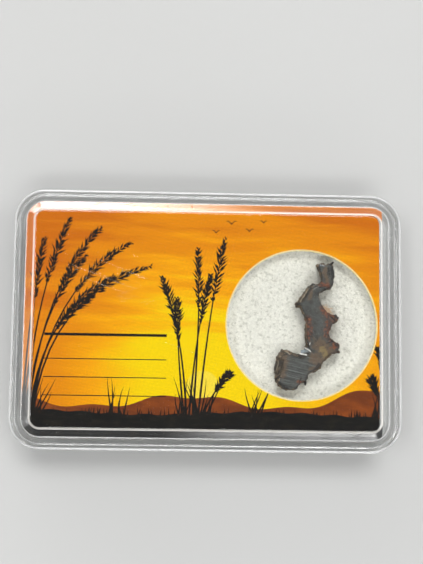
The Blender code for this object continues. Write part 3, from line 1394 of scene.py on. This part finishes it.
@dataclass
class SunsetPicture:
    """A plain sunset over dry grassland, drawn as flat outlines in millimetres."""

    horizon: float = -14.2
    seed: int = 11
    tufts: int = 150
    stem_steps: int = 40
    stem_widths: Point2 = (0.34, 0.10)
    blade_widths: Point2 = (0.32, 0.03)
    roots: float = -14.6
    # Each row of plumes is a stem's foot along X, its tip's X and Y, and how far it bends.
    plumes: Rows = (
        (-27.6, -21.5, 15.4, -2.5), (-27.2, -16.8, 14.2, -4.5), (-26.7, -12.2, 11.8, -6.5),
        (-27.4, -19.0, 9.6, -3.5), (-26.4, -9.2, 8.2, -8.5), (-26.9, -14.4, 6.6, -6.0),
        (-27.8, -25.4, 12.4, -0.8), (-26.2, -17.8, 3.4, -5.0), (-3.4, -4.6, 3.2, -0.6),
        (-2.6, 0.4, 7.0, -0.9), (-2.0, -1.6, 11.0, 0.8), (-1.2, 2.6, 12.6, -0.8),
        (-3.0, -7.0, 6.4, 1.6), (-0.6, 3.6, -8.0, -0.6), (27.6, 26.6, -4.0, 0.6),
        (27.0, 25.4, -8.6, 0.5),
    )
    clumps: tuple[float, ...] = (-27.0, -26.0, -3.2, -2.0, -0.8, 26.8, 8.0, -14.0)
    clump_blades: int = 7
    # Each bird's row is its X, its Y and its span.
    birds: Rows = ((3.6, 15.3, 1.9), (6.4, 14.2, 1.5), (1.2, 13.9, 1.3), (8.6, 15.6, 1.2))
    # Each rule's row is its left and right end, its height on the card and its thickness.
    rules: Rows = (
        (-25.0, -6.2, -2.6, 0.42), (-25.0, -6.2, -6.2, 0.14),
        (-25.0, -6.2, -9.0, 0.14), (-25.0, -6.2, -11.8, 0.14),
    )
    shapes: dict[Layer, list[list[Point2]]] = field(default_factory=dict)

    def draw(self) -> dict[Layer, list[list[Point2]]]:
        """Draws every shape of the picture.

        Returns:
            The outlines, anticlockwise, for each layer but the sky.
        """
        chance = random.Random(self.seed)
        self.shapes = {Layer.RIDGE: [], Layer.GROUND: [], Layer.GRASS: []}
        self._hills()
        self._fringe(chance)
        for foot, x, y, bow in self.plumes:
            self._plume((foot, self.roots), (x, y), bow, chance)
        for centre in self.clumps:
            for _ in range(self.clump_blades):
                self._blade(centre + chance.uniform(-1.4, 1.4), chance.uniform(1.5, 5.5), chance)
        for bird in self.birds:
            self._bird(*bird)
        for left, right, y, thick in self.rules:
            self._add(Layer.GRASS, [(left, y), (right, y), (right, y + thick), (left, y + thick)])
        return self.shapes

    def _add(self, layer: Layer, outline: list[Point2]) -> None:
        """Adds an outline, turned anticlockwise.

        Args:
            layer: The layer that it shows.
            outline: Its corners.
        """
        pairs = zip(outline, outline[1:] + outline[:1])
        area = sum(a[0] * b[1] - b[0] * a[1] for a, b in pairs)
        self.shapes[layer].append(outline if area > 0 else outline[::-1])

    def _hills(self) -> None:
        """Draws the far hills and the near ground, each as one outline."""
        steps = [x / 2 for x in range(-60, 61)]
        far = [
            (x, self.horizon + 1.7 + 0.9 * math.sin(0.21 * x + 2.2) + 0.35 * math.sin(0.63 * x)
             + (1.3 if x > 0 else 0.0) * smooth_ramp(14, 26, x))
            for x in steps
        ]
        near = [
            (x, self.horizon + 0.3 * math.sin(0.17 * x) + 0.12 * math.sin(1.3 * x + 1))
            for x in steps
        ]
        for layer, line in ((Layer.RIDGE, far), (Layer.GROUND, near)):
            self._add(layer, [(-30.0, -20.0), (30.0, -20.0), *line[::-1]])

    def _fringe(self, chance: random.Random) -> None:
        """Stands short tufts along the ground's edge.

        Args:
            chance: The source of small differences.
        """
        for _ in range(self.tufts):
            x, tall = chance.uniform(-28.5, 28.5), chance.uniform(0.3, 1.0)
            foot, lean = self.horizon - 0.5, chance.uniform(-0.3, 0.3)
            tip = (x + lean, foot + 0.5 + tall)
            self._add(Layer.GROUND, [(x - 0.12, foot), (x + 0.12, foot), tip])

    @staticmethod
    def _curve(root: Point2, tip: Point2, bow: float, steps: int) -> list[tuple[Vector, Vector]]:
        """Finds points and directions along a bent stem.

        Args:
            root: Its foot.
            tip: Its end.
            bow: How far it bends aside.
            steps: How many pieces it has.

        Returns:
            Each point with the direction there.
        """
        a, c = Vector(root), Vector(tip)
        b = a.lerp(c, 0.6) + Vector((bow, 0.55 * abs(bow)))
        found = []
        for i in range(steps + 1):
            t = i / steps
            point = (1 - t) ** 2 * a + 2 * t * (1 - t) * b + t * t * c
            way = (2 * (1 - t) * (b - a) + 2 * t * (c - b)).normalized()
            found.append((point, way))
        return found

    def _ribbon(self, line: list[tuple[Vector, Vector]], wide: float, narrow: float) -> None:
        """Adds a strip along a curve that narrows to its end.

        Args:
            line: Each point of the curve with the direction there.
            wide: The strip's width at its foot.
            narrow: Its width at its end.
        """
        left, right = [], []
        for i, (point, way) in enumerate(line):
            half = 0.5 * (wide + (narrow - wide) * i / (len(line) - 1))
            aside = Vector((-way.y, way.x)) * half
            left.append(tuple(point + aside))
            right.append(tuple(point - aside))
        self._add(Layer.GRASS, left + right[::-1])

    def _plume(self, root: Point2, tip: Point2, bow: float, chance: random.Random) -> None:
        """Draws a tall grass: a stem with a feathery head of seeds.

        Args:
            root: The stem's foot.
            tip: The head's end.
            bow: How far the stem bends aside.
            chance: The source of small differences.
        """
        line = self._curve(root, tip, bow, self.stem_steps)
        self._ribbon(line[::4], *self.stem_widths)
        first = 24 if (Vector(tip) - Vector(root)).length > 10 else 20
        for i, (point, way) in enumerate(line[first:]):
            full = math.sin(math.pi * (i + 2) / (self.stem_steps + 3 - first)) ** 0.6
            for side in (-1, 1, -1, 1):
                turn = math.radians(side * chance.uniform(14, 46))
                out = Matrix.Rotation(turn, 2) @ way
                size = full * chance.uniform(0.9, 1.9)
                start = point + way * chance.uniform(-0.3, 0.3)
                aside = Vector((-out.y, out.x)) * chance.uniform(0.10, 0.17)
                end, middle = start + out * size, start + out * size * 0.45
                seed = (start, middle - aside, end, middle + aside)
                self._add(Layer.GRASS, [tuple(p) for p in seed])

    def _blade(self, x: float, tall: float, chance: random.Random) -> None:
        """Draws a bent leaf of grass.

        Args:
            x: Where it stands.
            tall: How high it reaches over the horizon.
            chance: The source of small differences.
        """
        tip = (x + chance.uniform(-0.6, 0.6) * tall, self.horizon + tall)
        line = self._curve((x, self.horizon - 0.5), tip, chance.uniform(-0.5, 0.5), 6)
        self._ribbon(line, *self.blade_widths)

    def _bird(self, x: float, y: float, span: float) -> None:
        """Draws a far bird as two bent wings.

        Args:
            x: Where its body is along X.
            y: Where its body is along Y.
            span: How far its wings reach in all.
        """
        half, lift = span / 2, span * 0.24
        upper = [(0.0, 0.0), (0.5 * half, lift), (half, 0.75 * lift)]
        wing = [*upper, (0.5 * half, lift - 0.13), (0, -0.2)]
        for side in (-1, 1):
            self._add(Layer.GRASS, [(x + side * px, y + py) for px, py in wing])


@dataclass
class PrintedCard:
    """The printed card with its round window. The picture lies flush in its face."""

    length: float = 56.1 * MM
    width: float = 36.1 * MM
    corner_radius: float = 2.85 * MM
    bottom: float = 5.55 * MM
    top: float = 5.95 * MM
    window_centre: Point2 = (14.65, -0.4)
    window_radius: float = 11.6
    crushed_edge: float = 0.21
    crushed_drop: float = 0.07 * MM
    window_segments: int = 128
    corner_segments: int = 12
    point_reach: float = 1e-4

    def _outline(self) -> list[Point2]:
        """Outlines the card, cut straight on its right.

        Returns:
            Its corners in millimetres, anticlockwise.
        """
        shape = Shaper(
            (self.length, self.width), self.corner_radius, self.bottom, self.top,
            self.corner_segments,
        )
        bmesh.ops.bisect_plane(
            shape.bm, geom=[*shape.bm.verts, *shape.bm.edges, *shape.bm.faces],
            plane_co=(INSERT_RIGHT, 0, 0), plane_no=(1, 0, 0), clear_outer=True,
        )
        points = [tuple(v.co.xy / MM) for v in shape.end_face(1).verts]
        shape.bm.free()
        return points

    def _ring(self, radius: float) -> list[Point2]:
        """Draws a circle round the window.

        Args:
            radius: Its radius in millimetres.

        Returns:
            Its corners in millimetres, anticlockwise.
        """
        bm = bmesh.new()
        made = bmesh.ops.create_circle(bm, segments=self.window_segments, radius=radius)["verts"]
        centre = Vector(self.window_centre)
        points = sorted((v.co.xy for v in made), key=lambda p: math.atan2(p.y, p.x))
        points = [tuple(p + centre) for p in points]
        bm.free()
        return points

    def _face(self) -> bmesh.types.BMesh:
        """Lays out the printed face, with an edge along every outline of the picture.

        Returns:
            A flat bmesh, each face numbered with its layer.
        """
        drawn = SunsetPicture().draw()
        outlines = [self._outline(), self._ring(self.window_radius)]
        outlines.append(self._ring(self.window_radius + self.crushed_edge))
        layers = [Layer.SKY, None, Layer.CUT_EDGE]
        for layer, shapes in drawn.items():
            outlines += shapes
            layers += [layer] * len(shapes)
        points, faces = [], []
        for outline in outlines:
            faces.append(list(range(len(points), len(points) + len(outline))))
            points += [Vector(p) for p in outline]
        corners, _, cut, _, _, sources = delaunay_2d_cdt(points, [], faces, 1, self.point_reach)
        bm = bmesh.new()
        verts = [bm.verts.new((p.x * MM, p.y * MM, self.top)) for p in corners]
        order = (Layer.CUT_EDGE, Layer.GRASS, Layer.GROUND, Layer.RIDGE, Layer.SKY)
        for corner_ids, source in zip(cut, sources):
            inside = {layers[i] for i in source}
            if 0 in source and None not in inside:
                face = bm.faces.new([verts[i] for i in corner_ids])
                face.material_index = next(layer.value for layer in order if layer in inside)
        bmesh.ops.delete(bm, geom=[v for v in bm.verts if not v.link_faces], context="VERTS")
        return bm

    def _mesh(self) -> bpy.types.Mesh:
        """Gives the printed face its thickness and its back.

        Returns:
            The card's mesh.
        """
        bm = self._face()
        centre = Vector(self.window_centre) * MM
        reach = (self.window_radius + self.crushed_edge / 2) * MM
        border = [e for e in bm.edges if e.is_boundary]
        inner = {v for e in border for v in e.verts if (v.co.xy - centre).length < reach}
        bmesh.ops.translate(bm, vec=(0, 0, -self.crushed_drop), verts=list(inner))
        made = bmesh.ops.extrude_edge_only(bm, edges=border)["geom"]
        low = [v for v in made if isinstance(v, bmesh.types.BMVert)]
        for vertex in low:
            vertex.co.z = self.bottom
        for face in (f for f in made if isinstance(f, bmesh.types.BMFace)):
            face.material_index = Layer.CUT_EDGE.value
        back = bmesh.ops.triangle_fill(
            bm, use_beauty=True, edges=[e for e in bm.edges if e.is_boundary], normal=(0, 0, -1)
        )["geom"]
        for face in (f for f in back if isinstance(f, bmesh.types.BMFace)):
            face.material_index = Layer.BACK.value
        bmesh.ops.recalc_face_normals(bm, faces=bm.faces)
        return mesh_of(bm, "card")

    def build(self, effects: Effects) -> bpy.types.Object:
        """Builds and dresses the card.

        Args:
            effects: The shared effects.

        Returns:
            The card piece.
        """
        ink = PrintedInk()
        cut = BareCard("card_cut_edge", srgb(255, 248, 204), srgb(255, 230, 158))
        back = BareCard("card_back", srgb(244, 242, 234), srgb(214, 210, 198))
        materials = [ink.material(effects, layer) for layer in list(Layer)[:4]]
        materials += [cut.material(effects), back.material(effects)]
        return Piece.shown("sunset_card", self._mesh(), materials, "printed_card", "printed_card")


@dataclass
class MeteoriteSlice:
    """The slice: flat sawn faces, a chipped rim, cracks, and sides broken along crystals."""

    voxel: float = 0.085 * MM
    facet_size: float = 0.75
    facet_height: float = 0.34
    ragged_height: float = 0.22
    chip_depth: float = 0.2
    rim_passes: int = 5
    cracks: tuple[Mark, ...] = marks_at(
        (11.75, -5.9, 11.6, -6.9, 0.16, 0.2, 0.22), (11.6, -6.9, 11.0, -8.1, 0.14, 0.2, 0.2),
        (11.2, -8.3, 10.7, -8.9, 0.16, 0.2, 0.2), (12.0, -5.0, 13.2, -5.2, 0.12, 0.2, 0.12),
        (17.2, 5.4, 18.6, 5.6, 0.12, 0.2, 0.14), (16.2, 5.2, 16.9, 5.6, 0.1, 0.2, 0.12),
        (19.0, 0.9, 19.6, 0.3, 0.12, 0.2, 0.16), (18.4, -3.2, 19.6, -2.9, 0.12, 0.2, 0.14),
        (14.5, -8.6, 14.2, -9.4, 0.12, 0.2, 0.16), (15.2, 3.9, 15.6, 5.1, 0.13, 0.2, 0.14),
        (16.1, -4.5, 15.6, -3.4, 0.1, 0.2, 0.12),
    )

    def _flank_and_rim(self, mesh: bpy.types.Mesh) -> tuple[np.ndarray, np.ndarray]:
        """Measures how much each point belongs to the sides and to the sawn faces' rim.

        Args:
            mesh: The even mesh.

        Returns:
            The two shares for every point.
        """
        normals = np.zeros(len(mesh.vertices) * 3)
        mesh.vertices.foreach_get("normal", normals)
        slant = 1 - np.abs(normals.reshape(-1, 3)[:, 2])
        flank = np.clip((slant - 0.08) / 0.5, 0, 1)
        edges = np.zeros(len(mesh.edges) * 2, int)
        mesh.edges.foreach_get("vertices", edges)
        first, second = edges.reshape(-1, 2).T
        links = np.bincount(edges, minlength=len(flank))
        rim = flank.copy()
        for _ in range(self.rim_passes):
            total = np.bincount(first, rim[second], len(rim))
            total += np.bincount(second, rim[first], len(rim))
            rim = 0.4 * rim + 0.6 * total / np.maximum(links, 1)
        return flank, np.clip(rim * (1 - flank) * 4, 0, 1)

    def _weather(self, mesh: bpy.types.Mesh, flank: np.ndarray, rim: np.ndarray) -> None:
        """Breaks the sides into facets, chips the rim and opens the cracks.

        Args:
            mesh: The even mesh.
            flank: Each point's share in the sides.
            rim: Each point's share in the rim.
        """
        normals = [v.normal.copy() for v in mesh.vertices]
        for vertex, normal, side, edge in zip(mesh.vertices, normals, flank, rim):
            place = vertex.co / MM
            facet = noise.voronoi(place / self.facet_size)[0][0] - 0.4
            ragged = noise.fractal(place * 1.7, 0.8, 2.1, 4)
            push = side * (self.ragged_height * ragged - self.facet_height * facet)
            vertex.co += normal * push * MM
            if abs(normal.z) > 0.5:
                chip = smooth_ramp(0.05, 0.5, noise.noise(place * 1.3 + Vector((7, 0, 0))))
                sink = self.chip_depth * chip * edge + 0.012 * noise.noise(place * 0.8)
                if normal.z > 0:
                    sink += max(c.depth * c.nearness(place.x, place.y) for c in self.cracks)
                vertex.co.z -= math.copysign(sink, normal.z) * MM
        mesh.update()

    def build(self, effects: Effects, node: bpy.types.Object) -> bpy.types.Object:
        """Builds and dresses the slice.

        Args:
            effects: The shared effects.
            node: The slice's own node.

        Returns:
            The slice piece.
        """
        mesh = Piece.remeshed(node, self.voxel)
        flank, rim = self._flank_and_rim(mesh)
        self._weather(mesh, flank, rim)
        for name, values in (("flank", flank), ("rim", rim)):
            layer = mesh.attributes.new(name, "FLOAT", "POINT")
            layer.data.foreach_set("value", values.astype(np.float32))
        material = SawnMeteorite().material(effects, self.cracks)
        return Piece.shown("sawn_slice", mesh, [material], "meteorite_slice", "meteorite")


@dataclass(frozen=True)
class Softbox:
    """A rectangular lamp that points at the box and fades towards its edges."""

    name: str
    place: Place
    size: Point2
    watts: float
    fade: float = 0.12
    spread: float = 180.0
    side_fade: float = 0.2

    def build(self) -> bpy.types.Object:
        """Hangs the lamp.

        Returns:
            The lamp's object.
        """
        lamp = bpy.data.lights.new(self.name, "AREA")
        lamp.shape = "RECTANGLE"
        lamp.size, lamp.size_y = self.size
        lamp.energy = self.watts
        lamp.spread = math.radians(self.spread)
        lamp.use_nodes = True
        w = Wiring(lamp.node_tree)
        across, along, _ = w.split(w.add("ShaderNodeNewGeometry").outputs["Parametric"])
        share: Feed = 1.0
        for part, fade in ((across, self.fade), (along, self.side_fade)):
            edge = w.math("MINIMUM", part, w.minus(1.0, part))
            share = w.times(share, w.ramp(edge, 0.0, fade))
        w.feed(lamp.node_tree.nodes["Emission"].inputs["Strength"], share)
        holder = put_in_scene(self.name, lamp)
        holder.location = self.place
        holder.rotation_euler = (-Vector(self.place)).to_track_quat("-Z", "Y").to_euler()
        return holder


@dataclass
class Studio:
    """A pale floor, soft lamps and the camera."""

    floor_size: float = 2.4
    floor_gap: float = 0.05 * MM
    floor_colour: Colour = (0.49, 0.49, 0.48)
    floor_pale: Colour = (0.52, 0.52, 0.51)
    floor_tone: Patches = Patches(6.0, 2.0, 0.5, (0.3, 0.7))
    softboxes: tuple[Softbox, ...] = (
        Softbox("key_softbox", (0.05, 0.34, 0.44), (0.42, 0.20), 2.7),
        Softbox("left_softbox", (-0.40, 0.02, 0.42), (0.36, 0.10), 1.3),
        Softbox("right_softbox", (0.40, -0.02, 0.40), (0.36, 0.10), 1.2),
        Softbox("front_softbox", (0.06, -0.40, 0.42), (0.46, 0.12), 1.8),
        Softbox("corner_strip", (-0.43, 0.464, 0.138), (0.42, 0.09), 0.14, 0.15, 60.0),
        Softbox("back_strip", (-0.125, 0.60, 0.148), (0.39, 0.08), 0.20, 0.28, 60.0),
        Softbox("left_strip", (-0.50, -0.115, 0.18), (0.37, 0.05), 0.016, 0.15, 60.0),
        Softbox("right_strip", (0.50, 0.05, 0.145), (0.40, 0.055), 0.006, 0.12, 60.0),
        Softbox("front_strip", (0.16, -0.50, 0.235), (0.36, 0.07), 0.05, 0.15, 60.0),
    )
    air_low: Colour = (0.80, 0.82, 0.85)
    air_high: Colour = (0.055, 0.057, 0.06)
    air_strength: float = 1.05
    air_fade: Point2 = (0.16, 0.60)
    camera_place: Place = (-6.05 * MM, -17.98 * MM, 198.49 * MM)
    camera_right: Place = (0.9993, 0.0131, 0.0361)
    camera_up: Place = (-0.0175, 0.9922, 0.1235)
    lens: float = 79.8
    sensor: float = 36.0
    bounces: int = 24

    def _floor(self) -> None:
        """Lays a plain pale floor just under the box."""
        bm = bmesh.new()
        bmesh.ops.create_grid(bm, x_segments=1, y_segments=1, size=self.floor_size / 2)
        bmesh.ops.translate(bm, vec=(0, 0, -self.floor_gap), verts=bm.verts)
        mesh = mesh_of(bm, "floor")
        material, w, shader = new_material("pale_floor")
        tone = self.floor_tone.mask(w, w.object_coordinates())
        colour = w.blend(tone, self.floor_colour, self.floor_pale)
        w.dress(shader, {"Base Color": colour, "Roughness": 0.9})
        mesh.materials.append(material)
        floor = put_in_scene("floor", mesh)

    def _air(self) -> None:
        """Surrounds the scene with soft light, paler near the horizon."""
        world = bpy.data.worlds.new("studio_air")
        world.use_nodes = True
        bpy.context.scene.world = world
        w = Wiring(world.node_tree)
        height = w.split(w.add("ShaderNodeTexCoord").outputs["Generated"])[2]
        up = w.ramp(height, *self.air_fade)
        background = world.node_tree.nodes["Background"]
        w.feed(background.inputs["Color"], w.blend(up, self.air_low, self.air_high))
        background.inputs["Strength"].default_value = self.air_strength

    def _camera(self) -> None:
        """Places the camera where the photograph was taken from, almost straight above."""
        data = bpy.data.cameras.new("camera")
        data.lens, data.sensor_width = self.lens, self.sensor
        data.clip_start, data.clip_end = 0.01, 10.0
        camera = put_in_scene("camera", data)
        right, up = Vector(self.camera_right), Vector(self.camera_up)
        axes = Matrix((right, up, right.cross(up))).transposed()
        camera.matrix_world = Matrix.Translation(self.camera_place) @ axes.to_4x4()
        bpy.context.scene.camera = camera

    def build(self) -> None:
        """Sets up everything round the object."""
        self._camera()
        self._floor()
        self._air()
        for softbox in self.softboxes:
            softbox.build()
        scene = bpy.context.scene
        scene.view_settings.view_transform = "Standard"
        for kind in ("max", "glossy", "transmission", "transparent_max"):
            setattr(scene.cycles, kind + "_bounces", self.bounces)
        for kind in ("reflective", "refractive"):
            setattr(scene.cycles, "caustics_" + kind, False)
        log.info("studio: %d softboxes", len(self.softboxes))


def main() -> None:
    """Loads the frame and builds every piece in order."""
    logging.basicConfig(level=logging.INFO, format="%(name)s: %(message)s")
    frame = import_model()
    Studio().build()
    effects = Effects()
    ClearBox().build(effects)
    FoamInsert().build(effects, frame["nodes"]["foam_insert"])
    PrintedCard().build(effects)
    MeteoriteSlice().build(effects, frame["nodes"]["meteorite_slice"])


if __name__ == "__main__":
    main()
